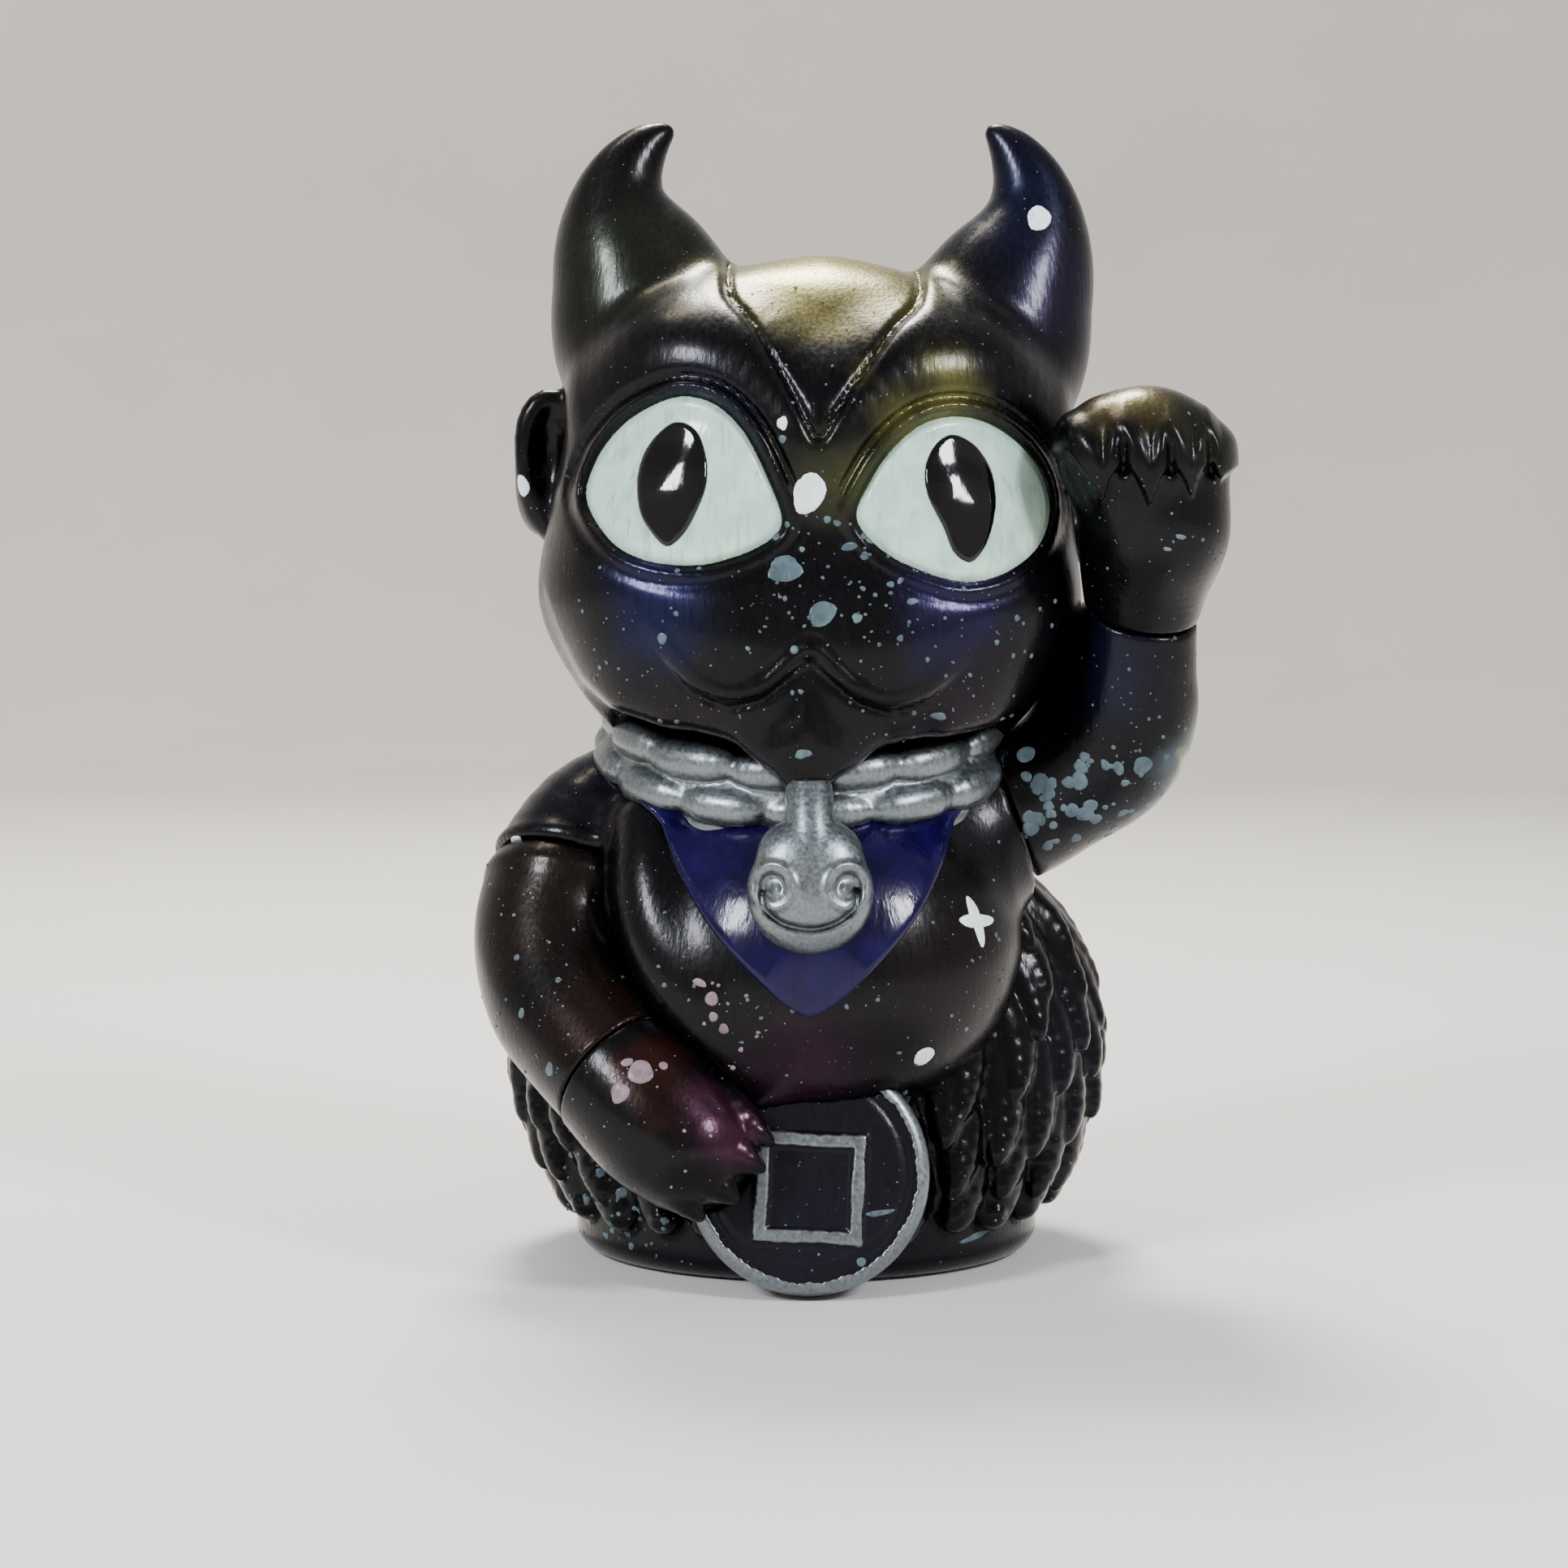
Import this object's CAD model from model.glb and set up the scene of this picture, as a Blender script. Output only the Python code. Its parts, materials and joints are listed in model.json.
import json
import math
import random

import bpy
import numpy as np
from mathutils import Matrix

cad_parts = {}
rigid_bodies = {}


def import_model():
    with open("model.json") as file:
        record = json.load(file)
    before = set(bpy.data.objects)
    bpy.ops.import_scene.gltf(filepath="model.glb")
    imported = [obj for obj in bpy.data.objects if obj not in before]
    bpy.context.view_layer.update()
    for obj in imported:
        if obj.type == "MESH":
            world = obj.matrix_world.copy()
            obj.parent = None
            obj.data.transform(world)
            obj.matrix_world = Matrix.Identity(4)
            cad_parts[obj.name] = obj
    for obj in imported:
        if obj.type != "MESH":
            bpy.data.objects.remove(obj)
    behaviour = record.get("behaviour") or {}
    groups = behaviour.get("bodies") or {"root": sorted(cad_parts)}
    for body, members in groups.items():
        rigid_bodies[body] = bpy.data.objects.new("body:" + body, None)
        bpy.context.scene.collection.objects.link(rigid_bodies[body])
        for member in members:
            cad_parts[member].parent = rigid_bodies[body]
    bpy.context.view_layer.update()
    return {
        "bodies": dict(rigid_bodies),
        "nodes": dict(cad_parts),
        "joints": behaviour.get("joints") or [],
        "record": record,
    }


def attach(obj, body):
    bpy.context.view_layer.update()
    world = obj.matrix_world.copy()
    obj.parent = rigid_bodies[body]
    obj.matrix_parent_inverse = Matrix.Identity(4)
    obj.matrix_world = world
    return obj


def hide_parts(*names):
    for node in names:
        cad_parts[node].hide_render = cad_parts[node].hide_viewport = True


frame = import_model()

import openvdb
from mathutils import Matrix, Vector
from mathutils.bvhtree import BVHTree

mm = 0.001
print("frame loaded")


def srgb(hexCode, alpha=1.0):
    # one place where a painter's hex colour becomes linear light
    channels = [int(hexCode[i:i + 2], 16) / 255 for i in (1, 3, 5)]
    return (*[c / 12.92 if c <= 0.04045 else ((c + 0.055) / 1.055) ** 2.4 for c in channels], alpha)


def addNode(tree, kind, settings=None, links=None):
    # settings name a property or an input, links name an input and the socket that feeds it
    node = tree.nodes.new(kind)
    for key, value in (settings or {}).items():
        if isinstance(key, str) and hasattr(node, key):
            setattr(node, key, value)
        else:
            node.inputs[key].default_value = value
    for key, socket in (links or {}).items():
        tree.links.new(socket, node.inputs[key])
    return node


def newMaterial(name):
    material = bpy.data.materials.new(name)
    material.use_nodes = True
    material.node_tree.nodes.clear()
    return material, material.node_tree


# forms are shaped like clay, as signed distances in millimetres, and meshed at the end
def clayBox(low, high, step):
    axes = [np.arange(low[i], high[i] + step, step, dtype=np.float32) for i in range(3)]
    return {"x": axes[0][:, None, None], "y": axes[1][None, :, None], "z": axes[2][None, None, :],
            "low": low, "step": step}


def ball(box, centre, radii, turn=None):
    # an ellipsoid; turn is an Euler rotation in degrees
    px, py, pz = box["x"] - centre[0], box["y"] - centre[1], box["z"] - centre[2]
    if turn:
        spin = np.array(Matrix.Rotation(math.radians(turn[2]), 3, "Z")
                        @ Matrix.Rotation(math.radians(turn[1]), 3, "Y")
                        @ Matrix.Rotation(math.radians(turn[0]), 3, "X"), dtype=np.float32)
        px, py, pz = [px * spin[0][i] + py * spin[1][i] + pz * spin[2][i] for i in range(3)]
    a, b, c = radii
    near = np.sqrt((px / a) ** 2 + (py / b) ** 2 + (pz / c) ** 2)
    slope = np.sqrt((px / a ** 2) ** 2 + (py / b ** 2) ** 2 + (pz / c ** 2) ** 2)
    return near * (near - 1) / np.maximum(slope, 1e-6)


def limb(box, start, end, startRadius, endRadius, flat=1.0):
    # a tapered round form between two points; flat squeezes it along y
    run = np.array(end, float) - start
    px, py, pz = box["x"] - start[0], (box["y"] - start[1]) / flat, box["z"] - start[2]
    run[1] /= flat
    along = np.clip((px * run[0] + py * run[1] + pz * run[2]) / float(run @ run), 0, 1)
    gap = np.sqrt((px - along * run[0]) ** 2 + (py - along * run[1]) ** 2 + (pz - along * run[2]) ** 2)
    return gap - (startRadius + (endRadius - startRadius) * along)


def tube(box, points, flat=1.0, steps=3):
    # points are (x, y, z, radius), smoothed into a bent form
    dense = smoothPath(points, steps)
    form = None
    for start, end in zip(dense, dense[1:]):
        piece = limb(box, start[:3], end[:3], start[3], end[3], flat)
        form = piece if form is None else np.minimum(form, piece)
    return form


def grow(form, box, part, low, high, soft, cut=False):
    # melts a part into the form, or cuts it away, working only between two corners
    pick, near = [], {"low": box["low"], "step": box["step"]}
    for i, key in enumerate("xyz"):
        values = box[key].ravel()
        first = int(np.searchsorted(values, low[i] - soft - 1))
        last = int(np.searchsorted(values, high[i] + soft + 1))
        pick.append(slice(first, max(last, first + 1)))
        near[key] = box[key][tuple(pick[i] if k == i else slice(None) for k in range(3))]
    pick = tuple(pick)
    held = form[pick]
    if held.size:
        form[pick] = press(held, -part(near), soft) if cut else melt(held, part(near), soft)


def growBall(form, box, centre, radii, soft, turn=None, cut=False):
    reach = max(radii) if turn else None
    low = [centre[i] - (reach or radii[i]) for i in range(3)]
    high = [centre[i] + (reach or radii[i]) for i in range(3)]
    grow(form, box, lambda near: ball(near, centre, radii, turn), low, high, soft, cut)


def growTube(form, box, points, soft, flat=1.0, steps=3, cut=False):
    low = [min(p[i] - p[3] for p in points) - 1 for i in range(3)]
    high = [max(p[i] + p[3] for p in points) + 1 for i in range(3)]
    grow(form, box, lambda near: tube(near, points, flat, steps), low, high, soft, cut)


def melt(a, b, soft):
    # joins two forms with a fillet about as wide as soft
    near = np.maximum(soft - np.abs(a - b), 0) / soft
    return np.minimum(a, b) - near * near * soft / 4


def press(a, b, soft):
    # keeps what both forms hold, with a rounded edge
    return -melt(-a, -b, soft)


def smoothPath(points, steps, closed=False):
    # a Catmull-Rom curve through the points
    pts = [np.array(p, float) for p in points]
    count = len(pts)
    dense = []
    for i in range(count if closed else count - 1):
        if closed:
            a, b, c, d = [pts[(i + k) % count] for k in (-1, 0, 1, 2)]
        else:
            a, b, c, d = pts[max(i - 1, 0)], pts[i], pts[i + 1], pts[min(i + 2, count - 1)]
        for s in range(steps):
            t = s / steps
            dense.append(0.5 * (2 * b + (c - a) * t + (2 * a - 5 * b + 4 * c - d) * t * t
                                + (3 * b - a - 3 * c + d) * t ** 3))
    if not closed:
        dense.append(pts[-1])
    return dense


def outlineGap(across, up, points, closed=True, steps=8):
    # how far each place of a flat sheet lies from a drawn line; inside a closed line it is negative
    dense = smoothPath(points, steps, closed)
    pairs = list(zip(dense, dense[1:] + dense[:1] if closed else dense[1:]))
    shape = np.broadcast(across, up).shape
    gap = np.full(shape, 1e6, np.float32)
    inside = np.zeros(shape, bool)
    for start, end in pairs:
        rx, ry = end[0] - start[0], end[1] - start[1]
        t = np.clip(((across - start[0]) * rx + (up - start[1]) * ry) / max(rx * rx + ry * ry, 1e-9), 0, 1)
        gap = np.minimum(gap, np.hypot(across - start[0] - t * rx, up - start[1] - t * ry))
        if closed:
            crosses = (start[1] > up) != (end[1] > up)
            where = start[0] + (up - start[1]) * rx / (ry if abs(ry) > 1e-9 else 1e-9)
            inside ^= crosses & (across < where)
    return np.where(inside, -gap, gap) if closed else gap


def bump(gap, width):
    return np.exp(-(gap / width) ** 2)


def fade(value, low, high):
    t = np.clip((value - low) / (high - low), 0, 1)
    return t * t * (3 - 2 * t)


def meshFrom(name, box, form, place=None):
    # turns a form into a mesh object in metres
    step = box["step"]
    limit = step * 3
    full = np.clip(np.broadcast_to(form, np.broadcast(box["x"], box["y"], box["z"]).shape), -limit, limit)
    full = np.ascontiguousarray(full, dtype=np.float32).copy()
    for side in (0, -1):
        full[side], full[:, side], full[:, :, side] = limit, limit, limit
    grid = openvdb.FloatGrid(background=limit)
    grid.copyFromArray(full)
    points, _, quads = grid.convertToPolygons(isovalue=0.0, adaptivity=0.0)
    points = points.astype(float) * step + np.array(box["low"], float)
    if place is not None:
        points = place(points)
    return newPiece(name, points * mm, quads)


def newPiece(name, points, faces):
    mesh = bpy.data.meshes.new(name)
    mesh.from_pydata(np.asarray(points).tolist(), [], np.asarray(faces).tolist())
    mesh.update()
    mesh.polygons.foreach_set("use_smooth", [True] * len(mesh.polygons))
    piece = bpy.data.objects.new(name, mesh)
    bpy.context.scene.collection.objects.link(piece)
    return piece


def finishPiece(piece, material, body, replaced=()):
    piece.data.materials.clear()
    piece.data.materials.append(material)
    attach(piece, body)
    if replaced:
        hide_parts(*replaced)
    return piece


# the swivels, as the frame's own joints give them, in millimetres
seams = {joint["name"]: {"point": [v / mm for v in joint["pos_m"]], "axis": joint["axis"]}
         for joint in frame["joints"]}
seamGap = 0.15  # half the gap between two pieces at a swivel

# the head is shaped upright from its chin's tip, then rolled a little towards the raised paw
headSeat = {"chin": (-0.7, 0.0, 58.6), "roll": math.radians(2.5)}
neck = {**seams["head_swivel"], "post": 18.6}
rope = {"ring": 21.8, "thick": 4.6, "drop": 1.8, "room": 0.45}
hornPath = [(18.0, -2.0, 47.0, 11.6), (20.4, -2.0, 54.0, 12.5), (22.4, -2.0, 60.0, 10.8), (24.1, -2.0, 63.8, 9.1),
            (25.2, -2.0, 67.4, 7.4), (25.5, -2.0, 71.2, 5.8), (24.7, -2.0, 75.0, 4.4), (23.0, -2.0, 78.2, 3.1),
            (21.2, -2.0, 80.2, 1.9), (20.2, -2.0, 80.9, 1.2)]
eyeLines = {
    "left": [(-26.8, 33.8), (-25.8, 38.6), (-22.9, 42.5), (-19.2, 44.9), (-15.7, 45.9), (-12.0, 45.0), (-8.6, 41.9),
             (-5.6, 36.6), (-3.9, 32.2), (-5.4, 29.8), (-9.0, 27.9), (-13.5, 26.7), (-19.0, 27.0), (-23.4, 29.0)],
    "right": [(5.0, 32.9), (6.3, 36.9), (8.8, 40.9), (12.2, 43.9), (16.2, 45.0), (20.3, 44.3), (24.2, 42.0),
              (27.0, 38.6), (27.9, 34.6), (26.4, 30.6), (22.6, 27.5), (18.0, 26.2), (13.0, 27.1), (8.0, 29.4)],
}
pupilLines = {
    "left": [(-16.2, 43.2), (-13.9, 42.0), (-12.6, 38.6), (-12.6, 35.6), (-13.6, 32.6), (-15.0, 30.0), (-16.9, 28.5),
             (-18.9, 30.1), (-20.4, 32.6), (-20.9, 36.4), (-20.1, 39.7), (-18.2, 42.2)],
    "right": [(15.6, 43.1), (18.4, 42.0), (20.4, 39.3), (21.1, 36.0), (20.8, 32.6), (19.8, 29.8), (18.2, 28.2),
              (16.2, 29.3), (14.8, 32.2), (12.9, 35.6), (12.4, 38.8), (13.5, 41.7)],
}
mouthLine = [(-19.5, 18.6), (-17.6, 16.2), (-13.5, 12.2), (-9.2, 10.6), (-5.2, 11.6), (-2.2, 14.2), (0.2, 16.2),
             (2.6, 14.2), (5.8, 11.8), (9.8, 10.7), (14.2, 12.2), (18.0, 15.8), (20.0, 18.4)]
browRoll = [(2.2, -23.0, 43.5, 3.4), (9.0, -20.4, 49.0, 5.2), (17.0, -16.8, 49.6, 5.2), (24.5, -11.0, 46.0, 4.4)]
earRim = [(29.0, -0.2, 45.2, 1.5), (33.6, -0.8, 46.0, 1.5), (35.6, -0.8, 43.0, 1.6), (35.5, -0.6, 37.5, 1.5),
          (34.0, -0.2, 32.5, 1.6), (31.4, 0.0, 29.6, 1.8)]
jawLine = [(-34.0, 27.0), (-31.0, 20.0), (-29.3, 16.0), (-27.0, 12.0), (-23.2, 9.2), (-14.7, 6.9), (-8.0, 5.2),
           (-3.7, 2.8), (-1.2, 0.6), (0.0, 0.0), (1.4, 0.5), (4.2, 2.5), (8.3, 5.2), (14.8, 7.2), (22.6, 9.2),
           (27.3, 12.4), (30.0, 17.6), (34.0, 27.0)]
browLine = [(11.6, 60.4), (8.2, 55.0), (5.2, 50.0), (2.8, 46.0), (0.9, 42.4)]


def toFigure(points):
    # from the head's own frame to the standing figure
    c, s = math.cos(headSeat["roll"]), math.sin(headSeat["roll"])
    x, y, z = points[:, 0], points[:, 1], points[:, 2]
    return np.stack([headSeat["chin"][0] + x * c + z * s, y, headSeat["chin"][2] + z * c - x * s], axis=1)


def turned(value, side):
    return [(side * p[0], *p[1:]) for p in value]


def ropeRing(x, y, z, thick):
    # the round that the collar fills, leaned forward with the neck
    axis, point = neck["axis"], neck["point"]
    px, py, pz = x - point[0], y - point[1] + rope["drop"] * axis[1], z - point[2] + rope["drop"] * axis[2]
    high = py * axis[1] + pz * axis[2]
    out = np.sqrt(np.maximum(px ** 2 + py ** 2 + pz ** 2 - high ** 2, 0))
    return np.hypot(out - rope["ring"], high) - thick


def pastSeam(box, name):
    # distance past a swivel's seam, along its axis
    point, axis = seams[name]["point"], seams[name]["axis"]
    return sum(axis[i] * (box[k] - point[i]) for i, k in enumerate("xyz"))


def headClay(box):
    x, y, z = box["x"], box["y"], box["z"]
    form = melt(ball(box, (0, -2, 38), (31.0, 25.0, 22.0)), ball(box, (0.3, -3, 44.6), (17.6, 19.5, 20.4)), 6.0)
    form = np.ascontiguousarray(melt(form, ball(box, (0, -6.5, 35.5), (28.5, 19.6, 13.0)), 6.0), dtype=np.float32)
    for side in (-1, 1):
        growBall(form, box, (side * 13.0, -6.0, 23.8), (20.2, 22.0, 17.0), 6.0)  # cheek
        growBall(form, box, (side * 8.0, -13.0, 18.5), (13.5, 16.2, 10.4), 5.0)  # muzzle
        growBall(form, box, (side * 14.5, -8.0, 52.0), (10.6, 11.0, 9.4), 8.0)  # brow lobe
        horn = [(x, y, z - max(z - 62, 0) * (0.09 if side < 0 else 0), r) for x, y, z, r in turned(hornPath, side)]
        growTube(form, box, horn, 2.6, 0.92, 7)
        growTube(form, box, turned(browRoll, side), 7.0, steps=6)
        growBall(form, box, (side * 33.0, 1.0, 38.0), (4.2, 3.0, 8.6), 1.6, (0, side * -6, side * 12))
        growTube(form, box, turned(earRim, side), 1.2)
        growBall(form, box, (side * 32.9, -2.8, 39.0), (2.1, 2.6, 5.0), 0.9, cut=True)
        growTube(form, box, [(side * 16.0, -15.5, 14.0, 9.0), (side * 6.0, -20.8, 9.0, 6.4)], 5.0)
    growBall(form, box, (0, -9.5, 17.0), (27.0, 19.6, 19.0), 5.0)  # lower jaw
    growTube(form, box, [(0, -19.6, 11.0, 8.6), (0, -22.6, 6.0, 6.0), (0, -24.6, 1.6, 4.2)], 5.0)
    growBall(form, box, (0, -2.0, 13.0), (21.0, 19.0, 12.0), 4.0)  # throat
    jaw = np.interp(x, [p[0] for p in jawLine], [p[1] for p in jawLine]) - z
    form = press(form, jaw - 20 * fade(y, -14.0, 4.0), 1.6)
    form += faceRelief(x[:, 0, :], z[0])[:, None, :] * (1 - fade(y, -7.0, -1.0))
    c, s = math.cos(headSeat["roll"]), math.sin(headSeat["roll"])
    standX, standZ = headSeat["chin"][0] + x * c + z * s, headSeat["chin"][2] + z * c - x * s
    seat = pastSeam({"x": standX, "y": y, "z": standZ}, "head_swivel")
    form = press(form, seamGap - seat, 0.3)
    return press(form, -ropeRing(standX, y, standZ, rope["thick"] + rope["room"]), 0.3)


def faceRelief(across, up):
    # lines cut into the face are positive, and folds that stand out of it are negative
    sheet = np.zeros(np.broadcast(across, up).shape, np.float32)
    wedge = turned(browLine, -1) + [(0.0, 41.6)] + browLine[::-1] + [(9.0, 72.0), (-9.0, 72.0)]
    fold = outlineGap(across, up, wedge, steps=4)
    sheet += (1 - fade(up, 62.0, 66.0)) * (0.7 * bump(fold, 0.5) + 0.3 * bump(fold, 3.0) * (fold < 0)
                                           - 0.12 * bump(fold - 1.8, 1.4))
    for line in eyeLines.values():
        gap = outlineGap(across, up, line)
        high = fade(up, 30.0, 38.0)
        sheet += (-1.0 * fade(-gap, 0.0, 9.0) + 0.55 * bump(gap - 0.1, 0.5)
                  - (0.25 + 0.4 * high) * bump(gap - 1.35, 0.6) + 0.62 * high * bump(gap - 2.55, 0.5)
                  + 0.3 * (1 - high) * bump(gap - 2.4, 0.8))
    ends = 1 - fade(np.abs(across), 11.0, 20.5)
    under = np.interp(across, [p[0] for p in mouthLine], [p[1] for p in mouthLine]) - up
    cut = outlineGap(across, up, mouthLine, closed=False)
    sheet += ends * (0.95 * fade(under, -0.4, 0.5) * (1 - fade(under, 3.0, 9.0)) + 0.5 * bump(cut, 0.45)
                     - 0.3 * bump(cut - 1.4, 0.8) * (under < 0))
    crest = outlineGap(across, up, [(-5.0, 14.4), (-2.4, 17.0), (0.2, 18.9), (2.8, 17.0), (5.4, 14.6)], closed=False)
    return sheet + 0.22 * bump(crest, 0.6)


def buildHead(material):
    head = {"low": (-39.0, -32.0, -1.0), "high": (39.0, 25.0, 84.0), "voxel": 0.42}
    box = clayBox(head["low"], head["high"], head["voxel"])
    piece = meshFrom("headSkin", box, headClay(box), toFigure)
    print("head shaped,", len(piece.data.polygons), "faces")
    return finishPiece(piece, material, "head", ["head_shell", "left_horn", "right_horn"])


def buildEyes(enamel, black):
    paint = {"voxel": 0.24, "coat": 0.26, "pupilCoat": 0.34, "edge": 0.45}
    for side, line in eyeLines.items():
        xs, zs = [p[0] for p in line], [p[1] for p in line]
        box = clayBox((min(xs) - 1.5, -31.0, min(zs) - 1.5), (max(xs) + 1.5, -6.0, max(zs) + 1.5), paint["voxel"])
        skin = headClay(box)
        across, up = box["x"][:, 0, :], box["z"][0]
        inEye = outlineGap(across, up, line)[:, None, :]
        coat = press(press(skin - paint["coat"], inEye - 0.25, paint["edge"]), -skin - 0.5, 0.1)
        eye = finishPiece(meshFrom(f"{side}EyeEnamel", box, coat, toFigure), enamel, "head")
        inPupil = outlineGap(across, up, pupilLines[side])[:, None, :]
        slit = press(press(skin - paint["coat"] - paint["pupilCoat"], inPupil, 0.7), -skin, 0.1)
        finishPiece(meshFrom(f"{side}Pupil", box, slit, toFigure), black, "head")
    print("eyes painted")


# the forms of the body and its arms, in the standing figure's millimetres
shoulderStub = [(8.0, -3.0, 50.0, 10.5), (25.0, -4.0, 56.0, 9.7), (31.0, -5.0, 58.2, 9.0)]
raisedArm = [(16.0, -3.6, 52.8, 9.6), (25.0, -4.0, 56.0, 9.4), (31.0, -5.2, 58.8, 8.6), (36.8, -7.4, 63.0, 8.8),
             (39.4, -10.0, 68.0, 8.0), (39.8, -12.0, 73.0, 7.2), (40.1, -13.6, 79.0, 6.7), (40.4, -15.0, 84.0, 6.8)]
raisedPaw = [(40.1, -13.6, 79.0, 6.4), (40.4, -16.0, 86.0, 7.9), (40.5, -18.2, 92.0, 8.6), (40.0, -19.8, 97.0, 8.3)]
fingerRoll = [(35.6, -21.2, 99.2, 6.4), (39.6, -21.6, 99.6, 6.6), (42.6, -20.8, 98.6, 6.4)]
pawClaws = [(30.0, 98.5), (31.6, 96.6), (32.9, 94.6), (33.9, 92.6), (34.8, 96.0), (36.3, 97.6), (38.1, 95.2),
            (39.3, 92.4), (40.3, 95.6), (41.7, 97.6), (43.2, 95.6), (44.2, 93.4), (45.0, 96.2), (46.5, 97.6),
            (47.8, 95.6), (50.0, 97.0)]
restingCap = [(-22.0, -1.6, 55.5, 8.6), (-25.6, -2.8, 52.0, 10.0), (-28.6, -5.0, 47.0, 10.5), (-30.6, -8.4, 40.6, 10.2)]
restingArm = [(-25.6, -2.8, 52.0, 10.0), (-28.6, -5.0, 47.0, 10.5), (-30.6, -8.4, 40.6, 10.2),
              (-29.4, -13.6, 34.0, 9.6), (-25.8, -19.2, 29.4, 8.9), (-22.3, -23.3, 26.0, 8.6)]
restingHand = [(-24.5, -21.4, 27.9, 8.5), (-21.6, -23.7, 25.2, 8.8), (-17.6, -26.3, 21.3, 8.9),
               (-14.2, -28.3, 18.4, 8.0)]
handClaws = [[(-17.0, -28.6, 16.4, 3.8), (-14.6, -31.4, 13.2, 2.4), (-12.6, -32.8, 10.8, 0.8)],
             [(-14.0, -29.8, 17.6, 3.8), (-11.0, -32.4, 14.8, 2.4), (-8.6, -33.4, 13.0, 0.8)],
             [(-11.4, -29.6, 20.0, 3.8), (-8.2, -31.6, 17.8, 2.4), (-5.6, -32.4, 16.4, 0.8)],
             [(-10.2, -28.2, 22.4, 3.4), (-6.9, -30.0, 20.6, 2.1), (-4.6, -30.9, 19.2, 0.8)]]
armRoom = 0.45  # how far the body stays from the arm that rests on it


def blank(box):
    return np.full(np.broadcast(box["x"], box["y"], box["z"]).shape, 50.0, np.float32)


def torsoClay(box):
    form = blank(box)
    growBall(form, box, (1.5, -9.8, 39.6), (24.8, 21.3, 19.8), 0.5)  # belly
    growBall(form, box, (0.6, -14.5, 33.4), (19.5, 15.6, 14.0), 7.0)  # its overhang above the coin
    growBall(form, box, (0.0, -2.0, 51.5), (26.5, 17.5, 12.0), 7.0)  # chest
    growBall(form, box, (0.0, 5.5, 53.0), (21.5, 17.5, 14.5), 6.0)  # nape
    growTube(form, box, restingCap, 5.0)
    growTube(form, box, shoulderStub, 7.0)
    growTube(form, box, [(-18.6, -14.6, 54.0, 4.0), (-18.6, -18.6, 48.4, 4.2), (-17.4, -21.4, 42.2, 4.2),
                         (-14.2, -23.4, 36.0, 4.0), (-10.4, -24.0, 30.0, 3.8), (-6.4, -23.2, 24.4, 3.2)],
             4.5, steps=6)  # rolled edge along the arm
    axis, point = neck["axis"], neck["point"]
    high = pastSeam(box, "head_swivel")
    px, py, pz = box["x"], box["y"] - point[1] - high * axis[1], box["z"] - point[2] - high * axis[2]
    post = np.sqrt(px ** 2 + py ** 2 + pz ** 2) - neck["post"]
    form = melt(form, press(post, -high - 15.0, 0.5), 1.5)
    form = press(form, high + seamGap, 0.3)
    form = press(form, pastSeam(box, "raised_shoulder") + seamGap, 0.5)
    past, arm = pastSeam(box, "resting_shoulder"), tube(box, restingArm)
    form = form - 0.4 * bump(past + 1.3, 1.0) * (1 - fade(arm, 1.0, 3.0))  # the cap's soft lip
    room = np.minimum(arm, tube(box, restingHand)) - armRoom
    return press(form, -press(room, -past - seamGap, 0.2), 0.4)


def buildTorso(material):
    torso = {"low": (-42.0, -36.0, 17.0), "high": (38.0, 25.0, 71.0), "voxel": 0.45}
    box = clayBox(torso["low"], torso["high"], torso["voxel"])
    piece = meshFrom("torsoSkin", box, torsoClay(box))
    print("torso shaped,", len(piece.data.polygons), "faces")
    return finishPiece(piece, material, "torso", ["torso_shell"])


def buildRaisedArm(material):
    arm = {"low": (22.0, -24.0, 44.0), "high": (50.0, 7.0, 84.0), "voxel": 0.36}
    box = clayBox(arm["low"], arm["high"], arm["voxel"])
    form = blank(box)
    growTube(form, box, raisedArm, 0.5, steps=12)
    growBall(form, box, (35.4, -3.8, 66.4), (7.4, 7.2, 7.6), 4.0)  # the full inside of the elbow
    growBall(form, box, (36.2, -0.5, 75.0), (6.2, 6.5, 6.5), 4.0)
    form = press(form, seamGap - pastSeam(box, "raised_shoulder"), 0.5)
    form = press(form, pastSeam(box, "raised_wrist") + seamGap, 0.5)
    return finishPiece(meshFrom("raisedArmSkin", box, form), material, "raised_arm", ["raised_arm_shell"])


def buildRaisedPaw(material):
    paw = {"low": (26.0, -32.0, 74.0), "high": (53.0, 0.0, 110.0), "voxel": 0.3, "finger": 0.9, "cleft": 0.8}
    box = clayBox(paw["low"], paw["high"], paw["voxel"])
    form = blank(box)
    growTube(form, box, raisedPaw, 0.5, steps=8)
    growTube(form, box, fingerRoll, 4.0, steps=8)
    growBall(form, box, (42.4, -18.5, 90.0), (7.0, 8.8, 7.6), 3.0)  # heel of the paw
    across, up = box["x"][:, 0, :], box["z"][0]
    above = up - np.interp(across, [p[0] for p in pawClaws], [p[1] for p in pawClaws])
    relief = -paw["finger"] * fade(above, -0.3, 0.35) * (1 - fade(above, 3.0, 8.0))
    for x in (36.3, 41.7, 46.5):  # between the fingers
        cleft = outlineGap(across, up, [(x, 96.5), (x - 0.2, 99.5), (x - 0.5, 101.5)], closed=False, steps=3)
        relief = relief + paw["cleft"] * bump(cleft, 0.6) * (1 - fade(up, 99.0, 102.5))
    form = form + relief[:, None, :] * (1 - fade(box["y"], -21.0, -17.0))
    form = press(form, seamGap - pastSeam(box, "raised_wrist"), 0.5)
    return finishPiece(meshFrom("raisedPawSkin", box, form), material, "raised_paw", ["raised_paw_shell"])


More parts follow.
